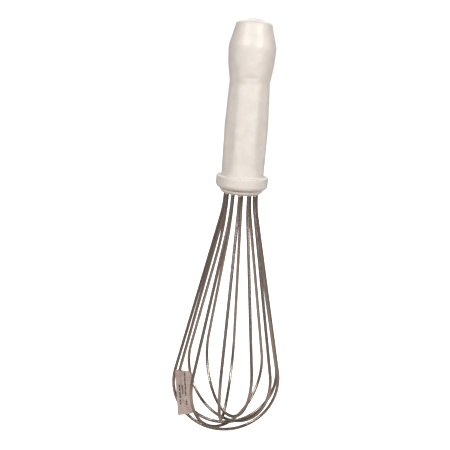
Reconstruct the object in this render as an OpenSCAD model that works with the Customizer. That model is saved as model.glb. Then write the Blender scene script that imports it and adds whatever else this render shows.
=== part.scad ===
// Balloon whisk: six bent wire loops held in a hollow moulded handle.
// Z runs up along the whisk's axis, and the lowest wire touches Z = 0 on that axis.
// The grip's front flat faces -Y.

/* [Balloon] */
// Thickness of the loop wire
wire_d = 2.3; // [1.4:0.1:2.4]
// From the lowest point of the balloon up to the plug's face
balloon_len = 180.7; // [165:0.1:220]
// Belly radius of the widest loop, on the wire's centre line
belly_r = 38.6; // [36:0.1:45]
// Height between the bottoms of the lowest and the highest loop
stack_h = 14.6; // [14.4:0.1:18]
// Radius of the ring on which the wires leave the plug
exit_r = 11.05; // [10.9:0.05:11.15]
// Usual radius of the bends just under the plug
bend_r = 85; // [60:1:110]
// Length of each wire end inside the handle
tail_len = 39.5; // [36:0.5:42]

/* [Handle] */
// Handle's length from its mouth to the top of the pommel
handle_len = 116; // [108:0.1:135]
// Radius of the grip's round neck just above the collar
neck_r = 14.9; // [14.6:0.1:16]
// Rise of the grip's softened corners above the straight line from waist to neck
palm_bulge = 1.05; // [0.8:0.05:1.4]
// Distance from the axis to a grip flat in its straight lower half
flat_r = 14.9; // [14.6:0.1:15.2]
// Distance from the axis to a side flat at its upper end
flat_top_r = 13.8; // [13.5:0.05:13.85]
// Distance from the axis to the front or back flat at its upper end
front_top_r = 13.9; // [13.85:0.05:14.05]
// Radius of the waist between grip and pommel
waist_r = 13.9; // [13.8:0.05:14.3]
// Largest radius of the pommel
pommel_r = 16.15; // [15.5:0.05:17.5]
// Radius of the pommel's crisp upper edge
pommel_edge_r = 15.95; // [15.3:0.05:16.1]
// Radius of the pommel's round shoulder
shoulder_r = 12.6; // [11.5:0.1:13.5]
// Radius of the gently domed crown
crown_r = 9.8; // [8:0.1:10.5]

/* [Handle heights] */
// Depth of the crown's edge under the top
crown_drop = 1.9; // [1:0.1:2.5]
// Depth of the shoulder under the top
shoulder_drop = 5.2; // [4:0.1:7]
// Depth of the pommel's crisp edge under the top
edge_drop = 17.7; // [15:0.1:19]
// Depth of the pommel's widest place under the top
pommel_drop = 21; // [19.5:0.1:25]
// Depth of the waist under the top
waist_drop = 43.3; // [40:0.1:46]
// How far the side flats run up past the waist
flat_over = 1.8; // [1:0.1:2.2]
// How far the front and back flats run up past the waist
front_over = 4.1; // [3:0.1:6]
// Depth under the top at which the flats begin to lean in
flat_lean_drop = 72; // [65:0.5:80]

/* [Collar] */
// Radius of the collar's round band
collar_r = 18.2; // [17.4:0.1:20]
// Height of the collar's straight band
collar_band_h = 5.1; // [2.5:0.1:6]
// Height of the collar's rounded underside
collar_under_h = 3; // [2:0.1:5]
// Height of the collar's rounded upper edge
collar_top_h = 1; // [0.5:0.1:2]
// Width of the collar's rounded upper edge, beside its level ledge
collar_top_w = 0.9; // [0.4:0.1:1.3]
// Radius of the handle's mouth rim
rim_r = 15.6; // [15.4:0.1:16.4]

/* [Inside] */
// Radius of the bore that takes the plug and the resin
bore_r = 13.1; // [13:0.05:13.3]
// Depth of that bore from the mouth
bore_len = 45; // [43:0.5:48]
// Radius of the narrower hollow above it
hollow_r = 9.6; // [7:0.1:10]
// Thickness of the handle's end above the hollow
crown_wall = 9; // [7:0.5:12]
// Height of the plug's rim, which shows under the collar
guide_rim_h = 3.3; // [2:0.1:5]
// Radius of the plug's rim at its upper edge
guide_rim_r = 15.2; // [14:0.1:15.4]
// How far the plug's rim narrows towards its lower edge
guide_rim_taper = 2.4; // [0.5:0.1:2.6]
// Length of the plug's stem inside the bore
guide_stem_len = 8; // [6:0.5:10]
// Length of the grooved core
core_len = 26; // [22:0.5:27]
// Height of the steel band round the wire ends
band_h = 8; // [5:0.5:10]
// Thickness of the steel band
band_wall = 0.5; // [0.4:0.05:0.55]
// Height of the resin above the plug's stem
resin_len = 33; // [31:0.5:35]

/* [Label] */
// Width of the paper label
label_w = 11.6; // [9.5:0.1:13]
// Length of the paper label along its longer edge
label_len = 36; // [30:0.5:40]
// Slant of the label's upper end
label_slant = 13; // [0:1:20]
// Thickness of the two layers of paper where they are stuck together
label_t = 0.4; // [0.3:0.05:0.8]
// Rounding of the label's two outer corners, by the wire
label_corner_r = 0.9; // [0.5:0.1:2]
// Rounding of the label's two inner corners
label_loose_r = 3.2; // [1:0.1:4]
// How far the label's centre lies inside the belly of its wire
label_inset = 4.7; // [3:0.1:6]
// Height of the label's centre above the lowest wire
label_z = 31; // [29:0.1:36]

/* [Hidden] */
$fn = 96;

// Bond line between parts that are glued or potted together
bond_gap = 0.05;
// How far a cutting shape runs past what it cuts
overrun = 1;
// The straight stretches of a wire reach this far into its bends, and are this much slimmer there
joint_lap = 0.4;
joint_slack = 0.005;
// Where a leg meets its belly at a slight angle, both stop this short inside a ball that is this much fatter
joint_gap = 0.1;
joint_swell = 0.03;
// Rise of the rounded outlines above the straight lines between their ends
crown_bulge = 0.45;
shoulder_bulge = 0.9;
edge_bulge = 0.1;
taper_bulge = 0.4;
collar_top_bulge = 0.3;
collar_under_bulge = 0.5;
guide_rim_bulge = 0.6;
// Lead-in at the mouth of the bore
mouth_lead = 0.3;
// Steps along each rounded outline
curve_steps = 8;
// Number of flats round the grip
flat_count = 8;
// How far a flat runs out sideways above its upper end, as a share of the height there
side_runout_share = 0.18;
front_runout_share = 0.4;

// The wires leave the plug at steps round the exit ring, from this turn
exit_start = -2;
exit_step = 30;
// The six loops, from the lowest to the highest: the place of the loop's exits in that ring,
// how far each exit is turned off its place, on side 1 and on side -1,
// the turn of its belly's plane from +X, the belly's radius as a share of belly_r,
// the belly's shift off the axis in its plane, its lift as a share of stack_h,
// and the radii of its two bends as shares of bend_r, on side 1 and on side -1
exit_places = [0, 2, 1, 5, 3, 4];
exit_nudges = [[0, 0], [-5, 0], [0, 0], [0, 0], [-3, -3], [0, 0]];
belly_turns = [5, 48, 10, 142.5, 83.5, 116];
belly_shares = [1, 0.99, 0.94, 0.98, 1, 0.98];
belly_shifts = [0, 1.8, 1.2, -1.1, 0, -1.2];
lift_shares = [0, 0.235, 0.405, 0.64, 0.83, 1];
bend_shares = [[1, 1], [1, 1.5], [1, 1], [2.4, 0.6], [1, 1], [2, 1]];
// Loop that carries the label, counted from 0, and the label's lean in that loop's plane
label_loop = 2;
label_lean = 7;

wire_r = wire_d / 2;
guide_face_z = balloon_len;
mouth_z = guide_face_z + guide_rim_h;
top_z = mouth_z + handle_len;
stem_top_z = mouth_z + guide_stem_len;
band_low_z = mouth_z + collar_under_h;
band_top_z = band_low_z + collar_band_h;
collar_top_z = band_top_z + collar_top_h;
waist_z = top_z - waist_drop;
side_flat_top = [flat_top_r, waist_z + flat_over];
front_flat_top = [front_top_r, waist_z + front_over];
flat_lean_z = top_z - flat_lean_drop;
core_mid_z = stem_top_z + core_len / 2;
wire_bore_r = wire_r + bond_gap;

handle_colour = [0.91, 0.88, 0.84];
guide_colour = [0.86, 0.82, 0.77];
resin_colour = [0.78, 0.72, 0.58];
steel_colour = [0.42, 0.38, 0.34];
paper_colour = [0.8, 0.75, 0.72];

// Points from p towards q, without q, that rise by bulge in the middle on the side away from the axis.
// Points are [distance from the axis, height], and p is above q.
function bow(p, q, bulge) =
    let (
        run = q - p,
        out = [-run.y, run.x] / norm(run)
    )
    [for (i = [0 : curve_steps - 1])
        let (t = i / curve_steps)
        p + run * t + out * bulge * 4 * t * (1 - t)];

// Belly radius of a loop, and the height of that circle's centre
function loop_radius(number) = belly_r * belly_shares[number];
function loop_centre_z(number) = wire_r + stack_h * lift_shares[number] + loop_radius(number);

// Turn of the line through a loop's two exits
function exit_turn(number, side) =
    exit_start + exit_step * exit_places[number] + exit_nudges[number][(1 - side) / 2];

// Radius of a loop's bend under the plug. Side is 1 or -1.
function bend_radius(number, side) = bend_r * bend_shares[number][(1 - side) / 2];

// Angle on the belly's circle at which the leg leaves it. Seen in the belly's plane, the leg is
// the straight line that touches both the belly's circle and the bend's circle.
function leg_lean(number, side) =
    let (
        bend = bend_radius(number, side),
        skew = exit_turn(number, side) - belly_turns[number],
        across = exit_r * cos(skew) + bend - side * belly_shifts[number],
        rise = guide_face_z - loop_centre_z(number)
    )
    atan2(rise, across) - acos((bend + loop_radius(number)) / norm([across, rise]));

function handle_outline() =
    let (
        crown_tip = [0, top_z],
        crown_edge = [crown_r, top_z - crown_drop],
        shoulder = [shoulder_r, top_z - shoulder_drop],
        edge = [pommel_edge_r, top_z - edge_drop],
        widest = [pommel_r, top_z - pommel_drop],
        waist = [waist_r, waist_z],
        neck = [neck_r, collar_top_z],
        ledge_edge = [collar_r - collar_top_w, collar_top_z],
        band_top = [collar_r, band_top_z],
        band_low = [collar_r, band_low_z],
        rim = [rim_r, mouth_z]
    )
    concat(
        bow(crown_tip, crown_edge, crown_bulge),
        bow(crown_edge, shoulder, shoulder_bulge),
        [shoulder],
        bow(edge, widest, edge_bulge),
        bow(widest, waist, taper_bulge),
        bow(waist, neck, palm_bulge),
        [neck],
        bow(ledge_edge, band_top, collar_top_bulge),
        [band_top],
        bow(band_low, rim, collar_under_bulge),
        [rim, [0, mouth_z]]
    );

// Cutter for one grip flat, drawn in [distance from the axis, height] and as wide as the collar.
// Above the straight lower half it follows the given points, and then runs out sideways.
module flat_cutter(upper, runout_share) {
    reach = 2 * collar_r;
    last = upper[len(upper) - 1];
    rotate([90, 0, 0])
    linear_extrude(height = 2 * collar_r, center = true)
    polygon(concat(
        [[flat_r, collar_top_z], [flat_r, flat_lean_z]],
        upper,
        [[reach, last.y + (reach - last.x) / runout_share], [reach, collar_top_z]]
    ));
}

module side_flat_cutter() { flat_cutter([side_flat_top], side_runout_share); }
module front_flat_cutter() { flat_cutter([side_flat_top, front_flat_top], front_runout_share); }

// Whether a flat, counted from +X, is the front or the back one
function faces_front(i) = i % (flat_count / 2) == flat_count / 4;

// Stepped hollow: a wide bore for plug and resin, and a narrower one above it with a cone end
module handle_hollow() {
    hollow_top_z = top_z - crown_wall;
    bore_top_z = mouth_z + bore_len;
    rotate_extrude()
    polygon([
        [0, mouth_z - overrun],
        [bore_r + mouth_lead, mouth_z - overrun],
        [bore_r + mouth_lead, mouth_z],
        [bore_r, mouth_z + mouth_lead],
        [bore_r, bore_top_z],
        [hollow_r, bore_top_z + bore_r - hollow_r],
        [hollow_r, hollow_top_z - hollow_r / 2],
        [0, hollow_top_z]
    ]);
}

// Puts its child at each place where a wire end stands, by loop and by side
module at_wire_ends() {
    for (number = [0 : len(exit_places) - 1], side = [1, -1])
        rotate([0, 0, exit_turn(number, side) + 90 * (1 - side)])
        translate([exit_r, 0, 0])
        children();
}

module handle() {
    color(handle_colour)
    difference() {
        rotate_extrude()
        polygon(handle_outline());
        for (i = [0 : flat_count - 1])
            rotate([0, 0, i * 360 / flat_count])
            if (faces_front(i)) front_flat_cutter();
            else side_flat_cutter();
        handle_hollow();
    }
}

module wire_guide() {
    stem_r = bore_r - bond_gap;
    rim_low = [guide_rim_r - guide_rim_taper, guide_face_z];
    rim_top = [guide_rim_r, mouth_z];
    color(guide_colour)
    difference() {
        rotate_extrude()
        polygon(concat(
            [[0, stem_top_z], [stem_r, stem_top_z], [stem_r, mouth_z]],
            bow(rim_top, rim_low, guide_rim_bulge),
            [rim_low, [0, guide_face_z]]
        ));
        at_wire_ends()
        translate([0, 0, guide_face_z - overrun])
        cylinder(r = wire_bore_r, h = stem_top_z - guide_face_z + 2 * overrun);
    }
}

module anchor_core() {
    color(handle_colour)
    difference() {
        translate([0, 0, stem_top_z])
        cylinder(r = exit_r, h = core_len);
        at_wire_ends()
        translate([0, 0, stem_top_z - overrun])
        cylinder(r = wire_bore_r, h = core_len + 2 * overrun);
    }
}

module band_ring(inner_r, outer_r, height) {
    translate([0, 0, core_mid_z - height / 2])
    difference() {
        cylinder(r = outer_r, h = height);
        translate([0, 0, -overrun])
        cylinder(r = inner_r, h = height + 2 * overrun);
    }
}

module binding_band() {
    inner_r = exit_r + wire_bore_r;
    color(steel_colour)
    band_ring(inner_r, inner_r + band_wall, band_h);
}

module resin_seal() {
    inner_r = exit_r + wire_r;
    outer_r = exit_r + wire_bore_r + band_wall + bond_gap;
    color(resin_colour)
    difference() {
        translate([0, 0, stem_top_z])
        cylinder(r = bore_r - bond_gap, h = resin_len);
        translate([0, 0, stem_top_z - overrun])
        cylinder(r = exit_r + bond_gap, h = core_len + overrun + bond_gap);
        band_ring(inner_r, outer_r, band_h + 2 * bond_gap);
        at_wire_ends()
        translate([0, 0, stem_top_z - overrun])
        cylinder(r = wire_bore_r, h = resin_len + 2 * overrun);
    }
}

// Lower part of one wire: the round belly, drawn in the X-Z plane
module wire_belly(number) {
    radius = loop_radius(number);
    short = joint_gap / radius * 180 / PI;
    start = 180 + leg_lean(number, -1) - short;
    end = leg_lean(number, 1) - short;
    translate([belly_shifts[number], 0, loop_centre_z(number)])
    rotate([90, 0, 0])
    rotate([0, 0, -start])
    rotate_extrude(angle = start + end)
    translate([radius, 0])
    circle(r = wire_r);
}

// One side of a wire: the joint ball at the belly's end, the straight leg, the bend and the upright tail.
// They are drawn in the upright plane through the exit and the belly's end.
module wire_side(number, side) {
    lean = leg_lean(number, side);
    turn = belly_turns[number];
    exit = side * exit_r * [cos(exit_turn(number, side)), sin(exit_turn(number, side))];
    foot = (belly_shifts[number] + side * loop_radius(number) * cos(lean)) * [cos(turn), sin(turn)];
    foot_z = loop_centre_z(number) + loop_radius(number) * sin(lean);
    run = foot - exit;
    out = norm(run);
    rise = guide_face_z - foot_z;
    bend = bend_radius(number, side);
    leg_len = sqrt(pow(bend - out, 2) + rise * rise - bend * bend);
    swing = atan2(rise, bend - out) - atan2(leg_len, bend);
    straight_r = wire_r - joint_slack;
    translate(exit)
    rotate([0, 0, atan2(run.y, run.x)]) {
        translate([out, 0, foot_z])
        sphere(r = wire_r + joint_swell);
        translate([out, 0, foot_z])
        rotate([0, -swing, 0])
        translate([0, 0, joint_gap])
        cylinder(r = straight_r, h = leg_len - joint_gap + joint_lap);
        translate([bend, 0, guide_face_z])
        rotate([90, 0, 0])
        rotate([0, 0, 180])
        rotate_extrude(angle = swing)
        translate([bend, 0])
        circle(r = wire_r);
        translate([0, 0, guide_face_z - joint_lap])
        cylinder(r = straight_r, h = tail_len + joint_lap);
    }
}

// One wire from end to end
module wire_loop(number) {
    color(steel_colour)
    union() {
        rotate([0, 0, belly_turns[number]])
        wire_belly(number);
        for (side = [-1, 1])
            wire_side(number, side);
    }
}

module wire_loop_1() { wire_loop(0); }
module wire_loop_2() { wire_loop(1); }
module wire_loop_3() { wire_loop(2); }
module wire_loop_4() { wire_loop(3); }
module wire_loop_5() { wire_loop(4); }
module wire_loop_6() { wire_loop(5); }

// Points that round off the corner between two edges, and start and end at the reach from it
function eased(before, corner, after, reach) =
    let (
        start = corner + (before - corner) * reach / norm(before - corner),
        end = corner + (after - corner) * reach / norm(after - corner)
    )
    [for (i = [0 : curve_steps])
        let (t = i / curve_steps)
        start * (1 - t) * (1 - t) + corner * 2 * t * (1 - t) + end * t * t];

// Outline of the label in its loop's plane, drawn in [distance from the axis, height]
module label_outline() {
    half_w = label_w / 2;
    half_len = label_len / 2;
    outer_low = [-half_w, -half_len];
    inner_low = [half_w, -half_len];
    inner_top = [half_w, half_len - label_w * tan(label_slant)];
    outer_top = [-half_w, half_len];
    translate([belly_shifts[label_loop] + label_inset - loop_radius(label_loop), label_z])
    rotate(label_lean)
    polygon(concat(
        eased(outer_top, outer_low, inner_low, label_corner_r),
        eased(outer_low, inner_low, inner_top, label_loose_r),
        eased(inner_low, inner_top, outer_top, label_loose_r),
        eased(inner_top, outer_top, outer_low, label_corner_r)
    ));
}

// Ring of round section on the belly circle of the loop that carries the label
module belly_ring(section_r) {
    translate([belly_shifts[label_loop], 0, loop_centre_z(label_loop)])
    rotate([90, 0, 0])
    rotate_extrude()
    translate([loop_radius(label_loop), 0])
    circle(r = section_r);
}

// Strip of paper folded round its wire and stuck to itself on both sides of it
module paper_label() {
    wrap_r = wire_bore_r + label_t / 2;
    color(paper_colour)
    rotate([0, 0, belly_turns[label_loop]])
    difference() {
        union() {
            rotate([90, 0, 0])
            linear_extrude(height = label_t, center = true)
            label_outline();
            intersection() {
                rotate([90, 0, 0])
                linear_extrude(height = 2 * wrap_r + overrun, center = true)
                label_outline();
                belly_ring(wrap_r);
            }
        }
        belly_ring(wire_bore_r);
    }
}

handle();
wire_guide();
anchor_core();
binding_band();
resin_seal();
wire_loop_1();
wire_loop_2();
wire_loop_3();
wire_loop_4();
wire_loop_5();
wire_loop_6();
paper_label();
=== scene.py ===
# %% [markdown]
# # A balloon whisk, dressed for its photograph
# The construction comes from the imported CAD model, which is loaded first and never changed.
# What follows puts a finished skin over the parts that show: a moulded plastic handle, spring
# wire, a paper label and the plug under the collar. Every length is in metres, in the CAD's own
# frame: Z runs up the whisk, the lowest wire touches Z = 0, and the camera looks along +Y.

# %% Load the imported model
import bpy
import numpy as np
from mathutils import Matrix, Vector


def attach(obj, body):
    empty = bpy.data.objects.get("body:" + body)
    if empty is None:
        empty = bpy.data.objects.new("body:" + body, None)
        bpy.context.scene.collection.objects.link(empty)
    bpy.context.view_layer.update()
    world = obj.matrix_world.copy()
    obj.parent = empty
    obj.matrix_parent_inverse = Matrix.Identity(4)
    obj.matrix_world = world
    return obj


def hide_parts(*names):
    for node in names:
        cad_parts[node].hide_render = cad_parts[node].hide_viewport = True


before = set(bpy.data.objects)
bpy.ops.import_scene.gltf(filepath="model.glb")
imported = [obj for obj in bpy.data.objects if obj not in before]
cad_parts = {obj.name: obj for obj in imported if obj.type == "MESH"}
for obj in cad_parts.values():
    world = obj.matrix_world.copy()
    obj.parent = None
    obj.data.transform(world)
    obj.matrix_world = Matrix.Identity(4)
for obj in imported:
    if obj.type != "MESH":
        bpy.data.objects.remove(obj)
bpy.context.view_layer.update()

# %% [markdown]
# ## The whisk's sizes
# The surfaces below are worked out from the same sizes as the CAD source, so they land on its
# solids with no fitting. Heights are counted from the lowest wire.

# %% Sizes, the same as in the CAD source
MM = 0.001
WIRE_R = 1.15 * MM
BELLY_R, STACK_H = 38.6 * MM, 14.6 * MM
EXIT_R, TAIL_LEN = 11.05 * MM, 39.5 * MM
FACE_Z, TOP_Z, COLLAR_TOP_Z = 180.7 * MM, 300 * MM, 193.1 * MM
FLAT_LEAN_Z, FLAT_TOP_Z, FRONT_TOP_Z = 228 * MM, 258.5 * MM, 260.8 * MM
FLAT_R, FLAT_TOP_R, FRONT_TOP_R = 14.9 * MM, 13.8 * MM, 13.9 * MM
SIDE_RUNOUT, FRONT_RUNOUT = 0.18, 0.4
BORE_R, HOLLOW_R, BORE_TOP_Z, HOLLOW_TOP_Z = 13.1 * MM, 9.6 * MM, 229 * MM, 291 * MM
# One row or value for each loop, from the lowest to the highest. A pair holds side 1 and side -1.
EXIT_PLACES = np.array([[0], [2], [1], [5], [3], [4]])
EXIT_NUDGES = np.array([[0, 0], [-5, 0], [0, 0], [0, 0], [-3, -3], [0, 0]])
EXIT_TURNS = np.radians(-2 + 30 * EXIT_PLACES + EXIT_NUDGES)
BELLY_TURNS = np.radians([5, 48, 10, 142.5, 83.5, 116])
BELLY_RADII = BELLY_R * np.array([1, 0.99, 0.94, 0.98, 1, 0.98])
BELLY_SHIFTS = np.array([0, 1.8, 1.2, -1.1, 0, -1.2]) * MM
CENTRE_Z = WIRE_R + STACK_H * np.array([0, 0.235, 0.405, 0.64, 0.83, 1]) + BELLY_RADII
BEND_R = 85 * MM
BEND_RADII = BEND_R * np.array([[1, 1], [1, 1.5], [1, 1], [2.4, 0.6], [1, 1], [2, 1]])
print("loops:", len(BELLY_TURNS), " overall height in mm:", TOP_Z / MM)

# %% [markdown]
# ## The camera first
# The photograph was taken from a little above, from about 60 cm away, and the whisk leans about
# 4 degrees to the right in it. The CAD frame stays upright, so the camera rolls instead. Its place
# was found by matching the twelve strands to the photograph.

# %% Camera at the photograph's viewing angle
def aim(camera, target, elevation, distance, roll):
    """Stands the camera on the -Y side. Its back axis is (0, -cos e, sin e), and its right and up
    axes are turned about that by the roll. It stands at the target plus the distance along the
    back axis."""
    e, turn = np.radians([elevation, roll])
    back = np.array([0, -np.cos(e), np.sin(e)])
    level, tall = np.array([1, 0, 0]), np.array([0, np.sin(e), np.cos(e)])
    right = level * np.cos(turn) + tall * np.sin(turn)
    up = tall * np.cos(turn) - level * np.sin(turn)
    place = np.eye(4)
    place[:3] = np.column_stack([right, up, back, np.array(target) + distance * back])
    camera.matrix_world = Matrix(place.tolist())


LOOKED_AT = (-9.46 * MM, 0, 156.85 * MM)
ELEVATION, DISTANCE, LEAN = 12.34, 595.4 * MM, 4.35

lens = bpy.data.cameras.new("photo_lens")
lens.sensor_width, lens.lens = 36, 67.35
camera = bpy.data.objects.new("photo_camera", lens)
bpy.context.scene.collection.objects.link(camera)
bpy.context.scene.camera = camera
aim(camera, LOOKED_AT, ELEVATION, DISTANCE, LEAN)
print("camera stands at", [round(v, 3) for v in camera.matrix_world.translation])

# %% [markdown]
# ## Closed skins from rings
# Every new piece here is a stack of closed rings: the handle's rings run round its axis, a wire's
# run round its own centre line. So one helper serves them all. It joins ring to ring with
# four-cornered faces, closes both ends with a fan to one point, and keeps a UV map whose u runs
# round the ring and whose v runs from the first ring to the last.

# %% Helpers: rings, and the faces between them
def ring_angles(sides):
    """Even angles round one ring."""
    return np.arange(sides) * 2 * np.pi / sides


def turned(reach, angle, height):
    """Points at these distances from the Z axis, at these angles and heights. The three are
    numbers or arrays that spread to one shape."""
    return np.stack(np.broadcast_arrays(reach * np.cos(angle), reach * np.sin(angle), height), -1)


def ring_faces(rows, sides):
    """Corner numbers of the four-cornered faces between neighbouring rings, and each corner's
    (u, v): column over sides, and row over the last row, with the last column meeting the first."""
    row, col = np.meshgrid(np.arange(rows - 1), np.arange(sides), indexing="ij")
    corner_col = np.stack([col, col + 1, col + 1, col], -1).reshape(-1, 4)
    corner_row = np.stack([row, row, row + 1, row + 1], -1).reshape(-1, 4)
    uv = np.stack([corner_col / sides, corner_row / (rows - 1)], -1)
    return corner_row * sides + corner_col % sides, uv


def fan_faces(ring_start, sides, pole, v):
    """Three-cornered faces from one ring to one point, with their (u, v)."""
    col = np.arange(sides)
    faces = np.stack([ring_start + col, ring_start + (col + 1) % sides, np.full(sides, pole)], -1)
    u = np.stack([col, col + 1, col + 0.5], -1) / sides
    return faces, np.stack([u, np.full(u.shape, v)], -1)


def signed_volume(points, triangles):
    """A sixth of the sum of a . (b x c) over the triangles: positive if they face outwards."""
    a, b, c = (points[triangles[:, i]] for i in range(3))
    return np.einsum("ij,ij->", a, np.cross(b, c)) / 6


# %% Helper: one closed skin
def closed_skin(rings, first_pole, last_pole):
    """Points, faces and corner (u, v) of a closed skin. rings is an array of rows x sides x 3."""
    rows, sides = rings.shape[:2]
    points = np.concatenate([rings.reshape(-1, 3), [first_pole, last_pole]])
    quads, quad_uv = ring_faces(rows, sides)
    start, start_uv = fan_faces(0, sides, rows * sides, 0.0)
    end, end_uv = fan_faces((rows - 1) * sides, sides, rows * sides + 1, 1.0)
    triangles = np.concatenate([start[:, ::-1], end])
    triangle_uv = np.concatenate([start_uv[:, ::-1], end_uv])
    flat = np.concatenate([quads[:, [0, 1, 2]], quads[:, [0, 2, 3]], triangles])
    if signed_volume(points, flat) < 0:
        quads, quad_uv = quads[:, ::-1], quad_uv[:, ::-1]
        triangles, triangle_uv = triangles[:, ::-1], triangle_uv[:, ::-1]
    return points, quads, quad_uv, triangles, triangle_uv


def piece(name, skins, stands_for=()):
    """One mesh object from closed skins. It rides on the whisk's only body, at the origin."""
    mesh = bpy.data.meshes.new(name)
    points, faces, uv, before = [], [], [], 0
    for skin_points, quads, quad_uv, triangles, triangle_uv in skins:
        points.append(skin_points)
        faces += (quads + before).tolist() + (triangles + before).tolist()
        uv += [quad_uv.reshape(-1, 2), triangle_uv.reshape(-1, 2)]
        before += len(skin_points)
    mesh.from_pydata(np.concatenate(points).tolist(), [], faces)
    mesh.uv_layers.new(name="UVMap").data.foreach_set("uv", np.concatenate(uv).ravel())
    mesh.polygons.foreach_set("use_smooth", [True] * len(faces))
    made = bpy.data.objects.new(name, mesh)
    bpy.context.scene.collection.objects.link(made)
    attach(made, "root")
    if stands_for:
        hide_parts(*stands_for)
    triangles = sum(len(f) - 2 for f in faces)
    print(f"{name}: {triangles} triangles, {1000 * made.dimensions.z:.1f} mm tall")
    return made


# %% [markdown]
# ## Materials from shared effects
# Two effects are each used by several materials: the cloudy, faintly grained skin of moulded
# plastic, and the drawn lines and tarnish of steel wire and band. Each is built once as a node
# group with named inputs, so a material only states its own tones and sizes. The Principled
# shader stays in the material.

# %% Helpers: nodes, materials and groups
def put(tree, kind, inputs=None, **settings):
    """Adds a node. A socket given as an input is linked to it, any other value is set on it."""
    made = tree.nodes.new(kind)
    for key, value in settings.items():
        setattr(made, key, value)
    for key, value in (inputs or {}).items():
        if isinstance(value, bpy.types.NodeSocket):
            tree.links.new(value, made.inputs[key])
        else:
            made.inputs[key].default_value = value
    return made


def new_group(name, inputs, outputs):
    """An empty shader node group with the named inputs and outputs, and its two end nodes."""
    tree = bpy.data.node_groups.new(name, "ShaderNodeTree")
    kinds = {"v": "NodeSocketVector", "c": "NodeSocketColor", "f": "NodeSocketFloat"}
    for label, kind in inputs:
        tree.interface.new_socket(label, in_out="INPUT", socket_type=kinds[kind])
    for label, kind in outputs:
        tree.interface.new_socket(label, in_out="OUTPUT", socket_type=kinds[kind])
    return tree, tree.nodes.new("NodeGroupInput").outputs, tree.nodes.new("NodeGroupOutput")


def new_material(name, **sockets):
    """A material with one Principled shader, whose constant values go straight on its sockets."""
    made = bpy.data.materials.new(name)
    made.use_nodes = True
    shader = made.node_tree.nodes["Principled BSDF"]
    for key, value in sockets.items():
        shader.inputs[key.replace("_", " ")].default_value = value
    return made, made.node_tree, shader


def spread(tree, value, low, high, to_low=0.0, to_high=1.0):
    """Maps low..high to to_low..to_high with a smooth step."""
    return put(tree, "ShaderNodeMapRange", {
        "Value": value, "From Min": low, "From Max": high, "To Min": to_low, "To Max": to_high,
    }, interpolation_type="SMOOTHSTEP").outputs["Result"]


def blend(tree, factor, a, b):
    """Mixes two colours."""
    made = put(tree, "ShaderNodeMix", {0: factor, 6: a, 7: b}, data_type="RGBA")
    return made.outputs[2]


def put_out(tree, out, **results):
    """Links the results to the group's outputs of the same names."""
    for key, socket in results.items():
        tree.links.new(socket, out.inputs[key])


def dress(tree, shader, tone, rough, normal):
    """Links a colour, a roughness and a normal to the Principled shader."""
    for key, socket in [("Base Color", tone), ("Roughness", rough), ("Normal", normal)]:
        tree.links.new(socket, shader.inputs[key])


def noise(tree, vector, scale, detail=2.0, roughness=0.5):
    """A noise pattern, as one number from about 0.3 to 0.7."""
    return put(tree, "ShaderNodeTexNoise", {
        "Vector": vector, "Scale": scale, "Detail": detail, "Roughness": roughness,
    }).outputs["Fac"]


# %% Shared effect 1: the skin of moulded plastic
def build_moulded_skin():
    """Wide soft clouds shift the colour, fine grain makes the bump, and sparse rubbed
    patches change the roughness."""
    tree, given, out = new_group("moulded_skin", [
        ("Vector", "v"), ("Light Tone", "c"), ("Deep Tone", "c"), ("Cloud Scale", "f"),
        ("Grain Scale", "f"), ("Grain Depth", "f"), ("Roughness", "f"),
    ], [("Color", "c"), ("Roughness", "f"), ("Normal", "v")])
    clouds = noise(tree, given["Vector"], given["Cloud Scale"], 4.0, 0.6)
    tone = blend(tree, spread(tree, clouds, 0.36, 0.64), given["Light Tone"], given["Deep Tone"])
    rubs = noise(tree, given["Vector"], 260.0, 3.0, 0.7)
    rubbed = spread(tree, rubs, 0.5, 0.68, 0.0, 0.09)
    rough = put(tree, "ShaderNodeMath", {0: given["Roughness"], 1: rubbed}, operation="ADD")
    grain = noise(tree, given["Vector"], given["Grain Scale"], 3.0, 0.6)
    bump = put(tree, "ShaderNodeBump", {
        "Height": grain, "Distance": given["Grain Depth"], "Strength": 1.0,
    })
    put_out(tree, out, Color=tone, Roughness=rough.outputs[0], Normal=bump.outputs[0])
    return tree


moulded_skin = build_moulded_skin()
print("group:", moulded_skin.name, [s.name for s in moulded_skin.interface.items_tree])

# %% Shared effect 2: drawn steel
def build_drawn_steel():
    """Fine lines run along the metal, because Line Vector is squeezed along its length. Tarnish
    gathers in soft patches that come from Patch Vector."""
    tree, given, out = new_group("drawn_steel", [
        ("Line Vector", "v"), ("Patch Vector", "v"), ("Bright Tone", "c"), ("Tarnish Tone", "c"),
        ("Patch Scale", "f"), ("Line Depth", "f"), ("Roughness", "f"),
    ], [("Color", "c"), ("Roughness", "f"), ("Normal", "v")])
    lines = noise(tree, given["Line Vector"], 1.0, 3.0, 0.65)
    patches = noise(tree, given["Patch Vector"], given["Patch Scale"], 4.0, 0.6)
    tarnish = spread(tree, patches, 0.38, 0.66)
    mixed = put(tree, "ShaderNodeMath", {0: lines, 1: tarnish, 2: 0.0}, operation="MULTIPLY_ADD")
    tree.links.new(spread(tree, lines, 0.3, 0.7, -0.12, 0.12), mixed.inputs[2])
    mixed.use_clamp = True
    tone = blend(tree, mixed.outputs[0], given["Bright Tone"], given["Tarnish Tone"])
    dulled = spread(tree, patches, 0.4, 0.7, 0.0, 0.08)
    rough = put(tree, "ShaderNodeMath", {0: given["Roughness"], 1: dulled}, operation="ADD")
    bump = put(tree, "ShaderNodeBump", {
        "Height": lines, "Distance": given["Line Depth"], "Strength": 1.0,
    })
    put_out(tree, out, Color=tone, Roughness=rough.outputs[0], Normal=bump.outputs[0])
    return tree


drawn_steel = build_drawn_steel()
print("group:", drawn_steel.name, [s.name for s in drawn_steel.interface.items_tree])

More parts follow.
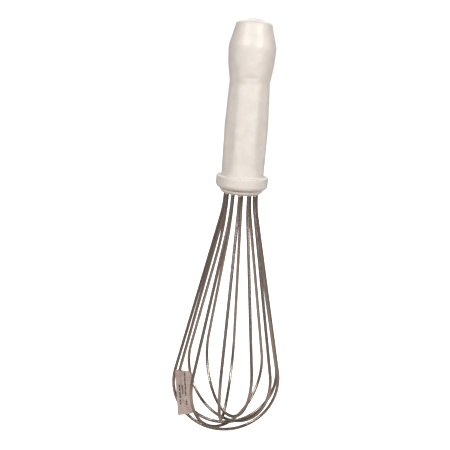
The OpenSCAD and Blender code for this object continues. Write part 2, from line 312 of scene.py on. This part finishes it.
# %% [markdown]
# ## Plastic finishes
# The handle is a satin, slightly warm off-white plastic with soft tone changes and a faint sheen.
# A little light goes into such plastic and comes out again, so it gets weak subsurface
# scattering. The plug is the same family of plastic, duller and rougher, and the core inside is
# plain moulded stock.

# %% Plastic materials
def moulded_material(name, light, deep, cloud, grain, depth, roughness, **sockets):
    """A moulded plastic, from the shared skin with this piece's tones and sizes."""
    made, tree, shader = new_material(name, **sockets)
    where = put(tree, "ShaderNodeTexCoord").outputs["Object"]
    skin = put(tree, "ShaderNodeGroup", {
        "Vector": where, "Light Tone": (*light, 1), "Deep Tone": (*deep, 1), "Cloud Scale": cloud,
        "Grain Scale": grain, "Grain Depth": depth, "Roughness": roughness,
    }, node_tree=moulded_skin).outputs
    dress(tree, shader, skin["Color"], skin["Roughness"], skin["Normal"])
    return made


handle_plastic = moulded_material(
    "satin_handle_plastic", (0.82, 0.775, 0.722), (0.775, 0.72, 0.658),
    cloud=150.0, grain=1500.0, depth=0.02 * MM, roughness=0.4,
    Specular_IOR_Level=0.4, Subsurface_Weight=0.12, Subsurface_Scale=2 * MM,
)
plug_plastic = moulded_material(
    "dull_plug_plastic", (0.84, 0.775, 0.71), (0.74, 0.66, 0.59),
    cloud=420.0, grain=1900.0, depth=0.06 * MM, roughness=0.62, Specular_IOR_Level=0.4,
)
core_plastic = moulded_material(
    "core_plastic", (0.76, 0.73, 0.68), (0.68, 0.64, 0.58),
    cloud=260.0, grain=2400.0, depth=0.02 * MM, roughness=0.55,
)
print("materials:", [m.name for m in bpy.data.materials if m.use_nodes])

# %% [markdown]
# ## The handle
# It is one hollow moulding: a domed pommel with a crisp edge, a grip with eight soft flats, and a
# round collar. It could be bevelled and subdivided from the CAD solid, but the flats fade into
# round ends, and bevels don't follow that. A formula does: the outline gives a round radius at
# each height, the flats give a second distance, and the skin is the smaller of both, blended
# softly where they cross.

# %% The handle's outline
def bow(start, end, bulge, steps=40):
    """Points on the straight line from start to end, moved outwards by bulge times 4t(1 - t).
    Points are (distance from the axis, height), and start is above end."""
    start, end = np.array(start), np.array(end)
    t = np.linspace(0, 1, steps, endpoint=False)[:, None]
    run = end - start
    out = np.array([-run[1], run[0]]) / np.hypot(*run)
    return start + run * t + out * bulge * 4 * t * (1 - t)


def handle_outline():
    """The CAD outline from the crown's tip down to the mouth, in millimetres."""
    return np.concatenate([
        bow((0, 300), (9.8, 298.1), 0.45),
        bow((9.8, 298.1), (12.6, 294.8), 0.9),
        bow((12.6, 294.8), (15.95, 282.3), 0),
        bow((15.95, 282.3), (16.15, 279), 0.1),
        bow((16.15, 279), (13.9, 256.7), 0.4),
        bow((13.9, 256.7), (14.9, 193.1), 1.05, 160),
        bow((14.9, 193.1), (17.3, 193.1), 0),
        bow((17.3, 193.1), (18.2, 192.1), 0.3),
        bow((18.2, 192.1), (18.2, 187), 0),
        bow((18.2, 187), (15.6, 184), 0.5),
        bow((15.6, 184), (13.4, 184), 0, 12),
        bow((13.4, 184), (13.1, 184.3), 0, 12),
        bow((13.1, 184.3), (13.1, 229), 0, 60),
    ])


# %% Rounding the outline as a mould does
def along(points):
    """Distance along a line of points, from its first point."""
    steps = np.linalg.norm(np.diff(points, axis=0), axis=1)
    return np.concatenate([[0], np.cumsum(steps)])


def even_points(points, gap):
    """The same line with points at even distances of about gap."""
    reach = along(points)
    at = np.linspace(0, reach[-1], int(reach[-1] / gap) + 1)
    return np.column_stack([np.interp(at, reach, points[:, k]) for k in range(2)])


def rounded(points, radii, gap):
    """Averages each point with its neighbours under a bell curve of the given width, which turns
    every corner into a small radius. The line is mirrored past both ends, so the ends stay."""
    count = int(4 * max(radii) / gap)
    head = points[count:0:-1] * [-1, 1]
    tail = 2 * points[-1] - points[-2:-count - 2:-1]
    longer = np.concatenate([head, points, tail])
    offsets = np.arange(-count, count + 1) * gap
    weight = np.exp(-0.5 * (offsets / radii[:, None]) ** 2)
    weight /= weight.sum(1, keepdims=True)
    near = np.lib.stride_tricks.sliding_window_view(longer, 2 * count + 1, axis=0)
    return np.einsum("nkc,nc->nk", near, weight)


OUTLINE_GAP = 0.15
# Width of the bell curve at some heights, both in millimetres: small where the mould is crisp
SOFTNESS = np.array([(184, 0.18), (187, 0.35), (191, 0.3), (192.5, 0.2), (196, 0.5), (250, 0.7),
                     (256.7, 0.55), (262, 0.7), (279, 0.5), (282.3, 0.12), (286, 0.6), (296, 0.7)])
line = even_points(handle_outline(), OUTLINE_GAP)
line = rounded(line, np.interp(line[:, 1], *SOFTNESS.T), OUTLINE_GAP)
print("outline points:", len(line), " widest radius in mm:", round(line[:, 0].max(), 2))

# %% Choosing rows where the outline bends
def dense_rows(points, rows, places):
    """Picks rows so that bends get more of them: the share of a stretch is its length plus a
    multiple of its turn, plus a bell round each of the places (height, width, amount)."""
    reach = along(points)
    run = np.gradient(points, reach, axis=0)
    turn = np.abs(np.gradient(np.unwrap(np.arctan2(run[:, 1], run[:, 0])), reach))
    need = 0.35 + 2.2 * np.minimum(turn, 2)
    for height, width, amount in places:
        need += amount * np.exp(-0.5 * ((points[:, 1] - height) / width) ** 2) * (points[:, 0] > 13)
    share = np.concatenate([[0], np.cumsum(0.5 * (need[1:] + need[:-1]) * np.diff(reach))])
    at = np.interp(np.linspace(0, share[-1], rows), share, reach)
    return np.column_stack([np.interp(at, reach, points[:, k]) for k in range(2)])


FRONT_FLAT_END, POMMEL_EDGE = (261.0, 2.0, 2.0), (282.3, 0.5, 2.0)
row_line = dense_rows(line, 300, [FRONT_FLAT_END, POMMEL_EDGE]) * MM
row_line[0, 0] = 0
print("rows:", len(row_line), " closest in mm:", round(np.diff(along(row_line)).min() / MM, 3))

# %% The handle's skin
EDGE_SOFTNESS = 0.45 * MM


def soft_min(a, b, width):
    """The smaller of a and b, with the crossing rounded off over the given width."""
    overlap = np.maximum(width - np.abs(a - b), 0) / width
    return np.minimum(a, b) - overlap ** 2 * width / 4


def grip_flat_distance(height, front):
    """Distance from the axis to a grip flat: level low down and leaning in above. Past its top a
    side flat runs out gently. The front and back flats go on a little higher, leaning out
    slightly, before they run out faster. In the last millimetre above the collar all of them run
    out at 45 degrees."""
    lean = np.clip((height - FLAT_LEAN_Z) / (FLAT_TOP_Z - FLAT_LEAN_Z), 0, 1)
    over = np.clip((height - FLAT_TOP_Z) / (FRONT_TOP_Z - FLAT_TOP_Z), 0, 1)
    side_out = SIDE_RUNOUT * np.maximum(height - FLAT_TOP_Z, 0)
    past_front = FRONT_RUNOUT * np.maximum(height - FRONT_TOP_Z, 0)
    front_out = (FRONT_TOP_R - FLAT_TOP_R) * over + past_front
    run_out = np.where(front, front_out, side_out) + np.maximum(COLLAR_TOP_Z + MM - height, 0)
    return FLAT_R + (FLAT_TOP_R - FLAT_R) * lean + run_out


def handle_rings(outline, sides=320):
    """Rings at each row. Round the grip, the radius is the soft minimum of the outline's radius
    and the flat's distance over the cosine of the angle to the nearest flat's middle."""
    angle = ring_angles(sides)
    off_flat = (angle + np.pi / 8) % (np.pi / 4) - np.pi / 8
    front = np.abs(np.abs(angle - np.pi) - np.pi / 2) < np.pi / 8
    radius, height = outline[:, :1], outline[:, 1:]
    flat = grip_flat_distance(height, front) / np.cos(off_flat)
    outer = (height > COLLAR_TOP_Z + 0.02 * MM) & (radius > 13.3 * MM)
    reach = np.where(outer, soft_min(radius, flat, EDGE_SOFTNESS), radius)
    return turned(reach, angle, height)


# The hollow's wall in (distance from the axis, height), above the bore, then its pointed roof
inner = np.array([
    (HOLLOW_R, BORE_TOP_Z + BORE_R - HOLLOW_R), (HOLLOW_R, 250 * MM),
    (HOLLOW_R, HOLLOW_TOP_Z - HOLLOW_R / 2), (HOLLOW_R / 2, HOLLOW_TOP_Z - HOLLOW_R / 4),
])
rings = handle_rings(np.concatenate([row_line[1:], inner]))
handle = piece("moulded_handle", [closed_skin(rings, (0, 0, TOP_Z), (0, 0, HOLLOW_TOP_Z))],
               ["handle"])
handle.data.materials.append(handle_plastic)

# %% [markdown]
# ## The plug
# Under the collar the wires leave a pale plug that closes the handle's mouth. In the photograph
# its lip is duller than the handle and a little uneven, like a part pressed in wet with adhesive.
# The skin is a turned outline whose lip wanders by a tenth of a millimetre or so.

# %% The plug's skin
def wander(angle, waves):
    """A sum of sines round the circle: each wave is (how many round, height, start angle)."""
    return sum(height * np.sin(count * angle + start) for count, height, start in waves)


def plug_rings(sides=192):
    """Rings from the plug's lower face, out over its lip and up along its stem."""
    lip = np.concatenate([
        [(3, 180.75), (6, 180.72), (9.2, 180.7), (12, 180.7), (12.5, 180.74)],
        bow((15.15, 183.7), (12.8, 180.85), 0.58, 24)[::-1],
        [(15.12, 183.82), (14.9, 183.94), (13.2, 183.98)],
        [(13.03, 184.2), (13.02, 188), (13.02, 191.8), (12.8, 191.9)],
    ]) * MM
    angle = ring_angles(sides)
    rough = wander(angle, [(5, 0.05, 0.4), (9, 0.04, 2.1), (17, 0.03, 4.0), (31, 0.02, 1.0)]) * MM
    loose = (lip[:, 0] > 12.4 * MM) * (lip[:, 1] < 183.8 * MM)
    reach = lip[:, :1] - np.abs(rough) * loose[:, None]
    height = lip[:, 1:] + np.abs(rough) * 0.7 * (lip[:, 1:] < 181.5 * MM)
    return turned(reach, angle, height)


plug = piece("pressed_plug", [closed_skin(plug_rings(), (0, 0, 180.78 * MM), (0, 0, 191.9 * MM))],
             ["wire_guide"])
plug.data.materials.append(plug_plastic)

# %% [markdown]
# ## The wire loops
# Each loop is one wire: down from its end inside the handle, round a bend just under the plug,
# down a straight leg, round the belly and back up. The CAD has the same route from the same
# sizes. A real wire is never quite flat, so each loop also sways by up to a tenth of a millimetre
# out of its plane, and not at all where it is held. A tube along the route is enough, because a
# wire is only a tube: what makes it look real is the finish.

# %% Where a leg leaves its belly
def leg_lean(number, side):
    """Angle on the belly's circle at which the leg leaves it. In the belly's plane the leg touches
    the belly's circle and the bend's circle, whose middles are across and rise apart, so
    lean = atan2(rise, across) - acos((bend + belly) / hypot(across, rise))."""
    skew = EXIT_TURNS[number, (1 - side) // 2] - BELLY_TURNS[number]
    bend = BEND_RADII[number, (1 - side) // 2]
    across = EXIT_R * np.cos(skew) + bend - side * BELLY_SHIFTS[number]
    rise = FACE_Z - CENTRE_Z[number]
    reach = bend + BELLY_RADII[number]
    return np.arctan2(rise, across) - np.arccos(reach / np.hypot(across, rise))


def towards(turn, distance, height):
    """Points at these distances from the axis, in the upright plane at that turn, and at these
    heights."""
    return np.column_stack([distance * np.cos(turn), distance * np.sin(turn), height])


# %% The route of one loop
def half_route(number, side, gap=0.9 * MM):
    """From the loop's lowest point up one side to the end of its tail. The bend is a quarter turn's
    first part, at R (1 - cos t) out from the exit and R sin t below the plug's face, R being its
    radius, and the leg is the line from the belly's end that touches it."""
    radius, curve = BELLY_RADII[number], BEND_RADII[number, (1 - side) // 2]
    angle = np.linspace(-np.pi / 2, leg_lean(number, side), int(1.7 * radius / gap))
    belly = towards(BELLY_TURNS[number], BELLY_SHIFTS[number] + side * radius * np.cos(angle),
                    CENTRE_Z[number] + radius * np.sin(angle))
    start = towards(EXIT_TURNS[number, (1 - side) // 2], side * EXIT_R, FACE_Z)[0]
    run = belly[-1] - start
    out, rise = np.hypot(*run[:2]), -run[2]
    leg = np.sqrt((curve - out) ** 2 + rise ** 2 - curve ** 2)
    swing = np.arctan2(rise, curve - out) - np.arctan2(leg, curve)
    t = np.linspace(swing, 0, int(swing * curve / gap))
    bend = start + towards(np.arctan2(run[1], run[0]), curve * (1 - np.cos(t)), -curve * np.sin(t))
    tail = start + np.outer(np.linspace(0, TAIL_LEN, 43)[1:], [0, 0, 1])
    share = np.linspace(0, 1, int(leg / gap))[1:-1, None]
    return np.concatenate([belly, belly[-1] * (1 - share) + bend[0] * share, bend, tail])


def loop_route(number):
    """The whole wire: one half backwards, then the other, swaying out of the belly's plane by a
    sine that fades out at the plug."""
    route = np.concatenate([half_route(number, -1)[:0:-1], half_route(number, 1)])
    held = np.clip((FACE_Z - route[:, 2]) / (60 * MM), 0, 1) ** 2
    t = np.linspace(0, 1, len(route))
    sway = wander(2 * np.pi * t, [(1, 0.05, number), (2, 0.035, 2.0 * number)]) * held * MM
    return route + towards(BELLY_TURNS[number] + np.pi / 2, sway, 0 * sway)


# %% A round tube along a route
def tube(route, radius, side_axis, sides=20):
    """Rings square to the route. Each ring is spanned by side_axis, made square to the route's
    direction, and by their cross product. Two small rings at each end round off the cut."""
    ahead = np.gradient(route, axis=0)
    ahead /= np.linalg.norm(ahead, axis=1, keepdims=True)
    across = side_axis - ahead * (ahead @ side_axis)[:, None]
    across /= np.linalg.norm(across, axis=1, keepdims=True)
    third = np.cross(ahead, across)
    middle = np.concatenate([route[:1], route, route[-1:]])
    size = np.full(len(middle), radius)
    size[[0, -1]] = 0.8 * radius
    middle[1] += ahead[0] * 0.2 * radius
    middle[-2] -= ahead[-1] * 0.2 * radius
    across, third = (np.concatenate([a[:1], a, a[-1:]]) for a in (across, third))
    angle = ring_angles(sides)
    round_part = across[:, None] * np.cos(angle)[:, None] + third[:, None] * np.sin(angle)[:, None]
    return closed_skin(middle[:, None] + size[:, None, None] * round_part, route[0], route[-1])


# %% [markdown]
# ## Wire finish
# In the photograph the wire is dark, warm and half dull, with bright glints where a back strand
# turns towards the light. Its colour comes from what it reflects, so the shader is a metal. Lines
# from the drawing die run along it, which needs the tube's own UV map: v runs along the wire, so
# v is squeezed and u is spread.

# %% Steel materials
def steel_material(name, bright, tarnish, patch, depth, roughness, metallic, coordinate, lines,
                   painted_shade_top=None):
    """A drawn or rolled steel, from the shared effect. lines stretches the chosen coordinate so
    that its noise becomes lines along the metal. A dull oxide layer makes it less of a metal. If a
    top height is given, the colour below it darkens towards the bottom: painted shade."""
    made, tree, shader = new_material(name, Metallic=metallic)
    spots = put(tree, "ShaderNodeTexCoord")
    along_metal = spots.outputs[coordinate]
    stretched = put(tree, "ShaderNodeMapping", {"Vector": along_metal, "Scale": lines})
    metal = put(tree, "ShaderNodeGroup", {
        "Line Vector": stretched.outputs[0], "Patch Vector": spots.outputs["Object"],
        "Bright Tone": (*bright, 1), "Tarnish Tone": (*tarnish, 1), "Patch Scale": patch,
        "Line Depth": depth, "Roughness": roughness,
    }, node_tree=drawn_steel).outputs
    tone = metal["Color"]
    # Painted shade: below the given top height the colour fades to a dark tone towards the lowest
    # wires, standing in for the shade at the loops' bottoms
    if painted_shade_top:
        height = put(tree, "ShaderNodeSeparateXYZ", {0: spots.outputs["Object"]}).outputs["Z"]
        painted_shade = spread(tree, height, 0.35 * painted_shade_top, painted_shade_top, 0.38, 0.0)
        tone = blend(tree, painted_shade, tone, (0.12, 0.095, 0.08, 1))
    dress(tree, shader, tone, metal["Roughness"], metal["Normal"])
    return made


# The wire's colour darkens below 34 mm: painted shade at the loops' bottoms
wire_steel = steel_material(
    "drawn_wire_steel", (0.44, 0.373, 0.328), (0.335, 0.277, 0.24),
    patch=140.0, depth=0.006 * MM, roughness=0.25, metallic=0.85,
    coordinate="UV", lines=(9.0, 14.0, 1.0), painted_shade_top=34 * MM,
)
band_steel = steel_material(
    "rolled_band_steel", (0.62, 0.6, 0.57), (0.4, 0.37, 0.33),
    patch=320.0, depth=0.008 * MM, roughness=0.3, metallic=1.0,
    coordinate="Object", lines=(300.0, 300.0, 5000.0),
)
print("steel materials:", wire_steel.name, band_steel.name)

# %% Make the six wires
for number, turn in enumerate(BELLY_TURNS):
    plane_normal = np.array([-np.sin(turn), np.cos(turn), 0])
    wire = piece(f"spring_wire_{number + 1}", [tube(loop_route(number), WIRE_R, plane_normal)],
                 [f"wire_loop_{number + 1}"])
    wire.data.materials.append(wire_steel)

# %% [markdown]
# ## The paper label
# A strip of coated paper is folded round one strand and stuck to itself, so both faces bulge over
# the wire and lie together beside it. A sheet with a solidify modifier would have one thickness
# everywhere. Here the half thickness is itself the formula, so the ridge over the wire is right.
# The maker's words aren't copied: the print is plain dashes.

# %% The label's skin
LABEL = 2  # the label's loop, counted from 0
LABEL_W, LABEL_LEN, LABEL_Z = 11.6 * MM, 36 * MM, 31 * MM
LABEL_X = BELLY_SHIFTS[LABEL] + 4.7 * MM - BELLY_RADII[LABEL]
LABEL_LEAN, LABEL_SLANT, PLY_HALF, RIDGE = np.radians(7), np.radians(13), 0.2 * MM, 1.39 * MM
RIDGE_FALL, CURL = 1.6 * MM, 0.35 * MM


def label_outline():
    """A sheet with a slanted upper end, as a closed line of points. Each corner c is rounded off by
    a(1 - t)^2 + 2ct(1 - t) + bt^2, from a just before it to b just after it."""
    half_w, half_len, t = LABEL_W / 2, LABEL_LEN / 2, np.linspace(0, 1, 12)[:, None]
    corners = np.array([(-half_w, -half_len), (half_w, -half_len),
                        (half_w, half_len - LABEL_W * np.tan(LABEL_SLANT)), (-half_w, half_len)])
    line = []
    for k, reach in enumerate([0.9 * MM, 3.2 * MM, 3.2 * MM, 0.9 * MM]):
        before, after = corners[k - 1] - corners[k], corners[(k + 1) % 4] - corners[k]
        start = corners[k] + before * reach / np.hypot(*before)
        end = corners[k] + after * reach / np.hypot(*after)
        line.append(start * (1 - t) ** 2 + corners[k] * 2 * t * (1 - t) + end * t ** 2)
    return even_points(np.concatenate(line + [line[0][:1]]), 0.6 * MM)[:-1]


print("label outline in mm:", (np.ptp(label_outline(), axis=0) / MM).round(1))


# %% The label's shape in space
def label_rings(shrink, side):
    """Rings that shrink towards the middle on one face. A point (a, b) of the sheet is turned by
    the lean, moved to its place in the loop's plane, and lifted off that plane by the ply's half
    thickness, by a bell over the wire, and by a slow curl."""
    flat = label_outline()[None] * shrink[:, None, None]
    a, b = flat[..., 0], flat[..., 1]
    across = a * np.cos(LABEL_LEAN) - b * np.sin(LABEL_LEAN) + LABEL_X
    height = a * np.sin(LABEL_LEAN) + b * np.cos(LABEL_LEAN) + LABEL_Z
    off_wire = np.hypot(across - BELLY_SHIFTS[LABEL], height - CENTRE_Z[LABEL]) - BELLY_RADII[LABEL]
    ridge = PLY_HALF + (RIDGE - PLY_HALF) * np.exp(-(off_wire / RIDGE_FALL) ** 2)
    curl = CURL * (a / (LABEL_W / 2)) ** 2 * np.sin(b / LABEL_LEN * 3 + 0.6)
    lift = side * ridge - np.where(off_wire < 0, curl, 0)
    turn = BELLY_TURNS[LABEL]
    return np.stack([across * np.cos(turn) - lift * np.sin(turn),
                     across * np.sin(turn) + lift * np.cos(turn), height], -1)


def label_skin(rows=30):
    """The front face from its middle out to the edge, and the back face in again."""
    shrink = np.linspace(0, 1, rows + 1)[1:] ** 0.8
    rings = np.concatenate([label_rings(shrink, -1), label_rings(shrink[::-1], 1)])
    first, last = rings[0].mean(0), rings[-1].mean(0)
    return closed_skin(rings, first, last)


label = piece("folded_label", [label_skin()], ["paper_label"])

# %% [markdown]
# ## Paper finish
# The paper is a greyish pink-beige with short fibres, a little darker towards its handled edges.
# A second UV map would be one way to place the print. The label lies in a known plane instead, so
# a Mapping node turns the Object coordinates into the label's own plane, and the dashes are
# columns there.

# %% Coordinates in the label's plane
def label_coordinates(tree):
    """Object coordinates moved to the label's middle and turned into its plane: x across the
    label, y square to it, z along it. Separate gives them as numbers, in metres."""
    where = put(tree, "ShaderNodeTexCoord").outputs["Object"]
    level = put(tree, "ShaderNodeMapping", {
        "Vector": where, "Rotation": (0, 0, -BELLY_TURNS[LABEL]),
    })
    centred = put(tree, "ShaderNodeVectorMath", {
        0: level.outputs[0], 1: (-LABEL_X, 0, -LABEL_Z),
    }, operation="ADD")
    upright = put(tree, "ShaderNodeMapping", {
        "Vector": centred.outputs[0], "Rotation": (0, LABEL_LEAN, 0),
    })
    return put(tree, "ShaderNodeSeparateXYZ", {0: upright.outputs[0]}).outputs, upright.outputs[0]


def calc(tree, operation, a, b=0.0):
    """One math node's result."""
    return put(tree, "ShaderNodeMath", {0: a, 1: b}, operation=operation).outputs[0]


# %% Plain printed dashes
# Each column's place across the label and its two ends along it, in millimetres from its middle
DASH_COLUMNS = [(0.9, -3.4, 16), (-1.3, -1.2, 5.6), (-3.4, -10.5, 6.4), (1.1, -10, -6)]
DASH_HALF = 0.55 * MM


def printed_dashes(tree, place, plane):
    """A mask of columns of short dashes: a narrow band at each column, cut along its length by a
    noise pattern, on the front face only."""
    marks = None
    for column, low, high in DASH_COLUMNS:
        offset = calc(tree, "ABSOLUTE", calc(tree, "SUBTRACT", place["X"], column * MM))
        band = calc(tree, "LESS_THAN", offset, DASH_HALF)
        cut = put(tree, "ShaderNodeMapping", {
            "Vector": plane, "Location": (column, 0, 0.7 * column), "Scale": (120.0, 0.0, 900.0),
        })
        dash = spread(tree, noise(tree, cut.outputs[0], 1.0, 2.0, 0.7), 0.425, 0.485)
        inside = calc(tree, "MULTIPLY", calc(tree, "GREATER_THAN", place["Z"], low * MM),
                      calc(tree, "LESS_THAN", place["Z"], high * MM))
        mark = calc(tree, "MULTIPLY", calc(tree, "MULTIPLY", band, dash), inside)
        marks = mark if marks is None else calc(tree, "MAXIMUM", marks, mark)
    front = calc(tree, "LESS_THAN", place["Y"], 0.0)
    return calc(tree, "MULTIPLY", marks, front)


# %% The paper material
def paper_material():
    """Coated paper: fibres as stretched noise, edges a tone darker, and the dashes on top."""
    made, tree, shader = new_material("label_paper", Specular_IOR_Level=0.35)
    place, plane = label_coordinates(tree)
    fibre_space = put(tree, "ShaderNodeMapping", {
        "Vector": plane, "Rotation": (0, 0.5, 0), "Scale": (2600.0, 900.0, 700.0),
    })
    fibres = noise(tree, fibre_space.outputs[0], 1.0, 4.0, 0.7)
    clouds = noise(tree, plane, 240.0, 3.0, 0.6)
    cloudy, fibrous = spread(tree, clouds, 0.36, 0.66), spread(tree, fibres, 0.45, 0.72, 0.0, 0.25)
    tone = blend(tree, cloudy, (0.58, 0.468, 0.424, 1), (0.48, 0.382, 0.343, 1))
    tone = blend(tree, fibrous, tone, (0.36, 0.275, 0.245, 1))
    edge = spread(tree, calc(tree, "ABSOLUTE", place["X"]), 4.4 * MM, 6.0 * MM, 0.0, 0.3)
    tone = blend(tree, edge, tone, (0.4, 0.31, 0.275, 1))
    marks = calc(tree, "MULTIPLY", printed_dashes(tree, place, plane), 0.9)
    tone = blend(tree, marks, tone, (0.045, 0.03, 0.027, 1))
    bump = put(tree, "ShaderNodeBump", {"Height": fibres, "Distance": 0.03 * MM, "Strength": 1.0})
    dress(tree, shader, tone, spread(tree, fibres, 0.3, 0.7, 0.62, 0.82), bump.outputs[0])
    return made


label.data.materials.append(paper_material())

# %% [markdown]
# ## Collars of adhesive
# Where a wire enters the plug, a thin collar of set adhesive runs down the wire by half a
# millimetre or so. Twelve small turned rings in one piece are enough. Without them the wires look
# pushed through the plug's face rather than sealed into it.

# %% Twelve adhesive collars
def collar_skin(turn, height_share, sides=28):
    """A ring round one wire: its outline is a quarter circle turned inwards, from the plug's face
    down along the wire. height_share varies it."""
    t = np.linspace(0, np.pi / 2, 9)
    fall = 0.75 * MM * height_share
    reach = WIRE_R + 0.02 * MM + 0.5 * MM * (1 - np.sin(t))
    height = FACE_Z - fall * (1 - np.cos(t))
    reach = np.concatenate([[reach[0]], reach])
    height = np.concatenate([[FACE_Z + 0.3 * MM], height])
    angle = ring_angles(sides)
    x = EXIT_R * np.cos(turn) + reach[:, None] * np.cos(angle)
    y = EXIT_R * np.sin(turn) + reach[:, None] * np.sin(angle)
    rings = np.stack(np.broadcast_arrays(x, y, height[:, None]), -1)
    return closed_skin(rings, rings[0].mean(0), rings[-1].mean(0))


exits = np.concatenate([EXIT_TURNS[:, 0], EXIT_TURNS[:, 1] + np.pi])
shares = 0.75 + 0.25 * np.sin(7 * exits)
adhesive = piece("adhesive_collars", [collar_skin(t, s) for t, s in zip(exits, shares)])
adhesive.data.materials.append(plug_plastic)

# %% [markdown]
# ## Parts inside the handle
# The core, the steel band and the resin are sealed inside. Their CAD shapes are right, so they
# keep them and only get their finishes. The resin is a poured, amber, slightly cloudy casting.

# %% Resin, core and band
def resin_material():
    """Cast resin: cloudy amber with small pits, glossy where it isn't pitted."""
    made, tree, shader = new_material("cast_resin", Subsurface_Weight=0.3, Subsurface_Scale=3 * MM,
                                      Coat_Weight=0.3, Coat_Roughness=0.15)
    where = put(tree, "ShaderNodeTexCoord").outputs["Object"]
    clouds = noise(tree, where, 180.0, 4.0, 0.6)
    pits = put(tree, "ShaderNodeTexVoronoi", {"Vector": where, "Scale": 900.0}).outputs["Distance"]
    pit = spread(tree, pits, 0.05, 0.25)
    cloudy = spread(tree, clouds, 0.35, 0.65)
    tone = blend(tree, cloudy, (0.62, 0.47, 0.25, 1), (0.5, 0.35, 0.16, 1))
    bump = put(tree, "ShaderNodeBump", {"Height": pit, "Distance": 0.05 * MM, "Strength": 0.6})
    dress(tree, shader, tone, spread(tree, pit, 0.0, 1.0, 0.5, 0.22), bump.outputs[0])
    return made


for node_name, finish in [("anchor_core", core_plastic), ("binding_band", band_steel),
                          ("resin_seal", resin_material())]:
    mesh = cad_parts[node_name].data
    mesh.materials.clear()
    mesh.materials.append(finish)
    print(node_name, "wears", finish.name)

# %% [markdown]
# ## Floor and backdrop
# One pale sheet lies under the whisk and curves up behind it, as paper does in a studio. It is a
# profile carried sideways. It only shows itself: it throws no light onto the whisk, because the
# photographed whisk's sides are too dark for one that stands inside a white box.

# %% The studio sheet
def studio_sheet(width=9.0, front=-6.0, depth=2.2, bend=1.2, height=4.5, ground=-0.6 * MM):
    """Points of a sheet: flat on the ground from front to depth, a quarter circle of radius bend
    behind, then straight up. Rows follow that profile and columns go from side to side."""
    t = np.linspace(0, np.pi / 2, 25)
    y = np.concatenate([[front, depth / 2], depth + bend * np.sin(t), [depth + bend]])
    z = np.concatenate([[0, 0], bend * (1 - np.cos(t)), [height]]) + ground
    x = np.array([-width, width])
    points = np.stack([np.broadcast_to(x, (len(y), 2)), np.broadcast_to(y[:, None], (len(y), 2)),
                       np.broadcast_to(z[:, None], (len(y), 2))], -1).reshape(-1, 3)
    row = np.arange(len(y) - 1) * 2
    return points, np.stack([row, row + 1, row + 3, row + 2], -1)


points, faces = studio_sheet()
sheet_mesh = bpy.data.meshes.new("studio_sheet")
sheet_mesh.from_pydata(points.tolist(), [], faces.tolist())
sheet_mesh.polygons.foreach_set("use_smooth", [True] * len(faces))
studio = bpy.data.objects.new("studio_sheet", sheet_mesh)
bpy.context.scene.collection.objects.link(studio)
studio.visible_diffuse = studio.visible_glossy = False
paper_white, tree, shader = new_material("studio_paper", Roughness=0.9, Specular_IOR_Level=0.1)
fleck = noise(tree, put(tree, "ShaderNodeTexCoord").outputs["Object"], 40.0, 4.0, 0.6)
flecked = blend(tree, fleck, (0.93, 0.93, 0.93, 1), (0.9, 0.9, 0.9, 1))
tree.links.new(flecked, shader.inputs["Base Color"])
shader.inputs["Emission Color"].default_value = (1, 1, 1, 1)
shader.inputs["Emission Strength"].default_value = 0.95
sheet_mesh.materials.append(paper_white)
print("sheet rows:", len(faces))

# %% [markdown]
# ## Light
# The two bright patches on the pommel and the way the grip darkens towards its sides point to two
# large lamps, left and right of the camera and above it. Two weak lamps behind keep the back views
# readable.

# %% Lamps
def softbox(name, azimuth, elevation, distance, size, power):
    """A square area lamp. Azimuth is counted from the camera's side (-Y) towards +X. It stands at
    that angle and distance from the whisk's middle and faces it."""
    a, e = np.radians([azimuth, elevation])
    away = Vector((np.sin(a) * np.cos(e), -np.cos(a) * np.cos(e), np.sin(e)))
    lamp = bpy.data.lights.new(name, "AREA")
    lamp.shape, lamp.size, lamp.energy = "SQUARE", size, power
    holder = bpy.data.objects.new(name, lamp)
    holder.location = Vector((0, 0, 0.15)) + away * distance
    holder.rotation_mode = "QUATERNION"
    holder.rotation_quaternion = away.to_track_quat("Z", "Y")
    bpy.context.scene.collection.objects.link(holder)
    return holder


softbox("left_lamp", -39, elevation=29, distance=1.6, size=0.5, power=14.6)
softbox("right_lamp", 39, elevation=29, distance=1.6, size=0.5, power=16.8)
softbox("back_left_lamp", -162, elevation=32, distance=1.8, size=0.9, power=7)
softbox("back_right_lamp", 162, elevation=32, distance=1.8, size=0.9, power=7)

# %% [markdown]
# ## Surroundings
# The camera sees plain white where the sheet ends. Everything else gets a dim warm room, so that
# the steel has something dark to reflect, with a pale table top below: it lights the collar's
# underside, and the back strands, which lean towards it, look paler than the front ones. A Light
# Path node tells the camera's rays from the others.

# %% World
world = bpy.data.worlds.new("studio")
bpy.context.scene.world = world
world.use_nodes = True
tree = world.node_tree
tree.nodes.clear()
rays = put(tree, "ShaderNodeLightPath").outputs
ray = put(tree, "ShaderNodeTexCoord").outputs["Generated"]
ray_height = put(tree, "ShaderNodeSeparateXYZ", {0: ray}).outputs["Z"]
table = spread(tree, ray_height, -0.6, -0.15, 1.0, 0.0)
under = spread(tree, ray_height, -0.97, -0.6, 0.2, 1.0)
table = calc(tree, "MULTIPLY", table, under)
# Each strength is (for all rays, on top of that for glossy ones)
WALLS, TABLE_TOP = (0.07, 0.09), (0.8, -0.15)
walls, top = (put(tree, "ShaderNodeMath", {0: rays["Is Glossy Ray"], 1: more, 2: base},
                  operation="MULTIPLY_ADD").outputs[0] for base, more in (WALLS, TABLE_TOP))
strength = put(tree, "ShaderNodeMath", {0: table, 1: top, 2: walls}, operation="MULTIPLY_ADD")
room = put(tree, "ShaderNodeBackground", {"Color": (0.95, 0.85, 0.78, 1),
                                          "Strength": strength.outputs[0]})
white = put(tree, "ShaderNodeBackground", {"Color": (1, 1, 1, 1), "Strength": 1.0})
both = put(tree, "ShaderNodeMixShader", {
    0: rays["Is Camera Ray"], 1: room.outputs[0], 2: white.outputs[0],
})
put(tree, "ShaderNodeOutputWorld", {"Surface": both.outputs[0]})
bpy.context.scene.view_settings.view_transform = "Standard"
print("view transform:", bpy.context.scene.view_settings.view_transform)
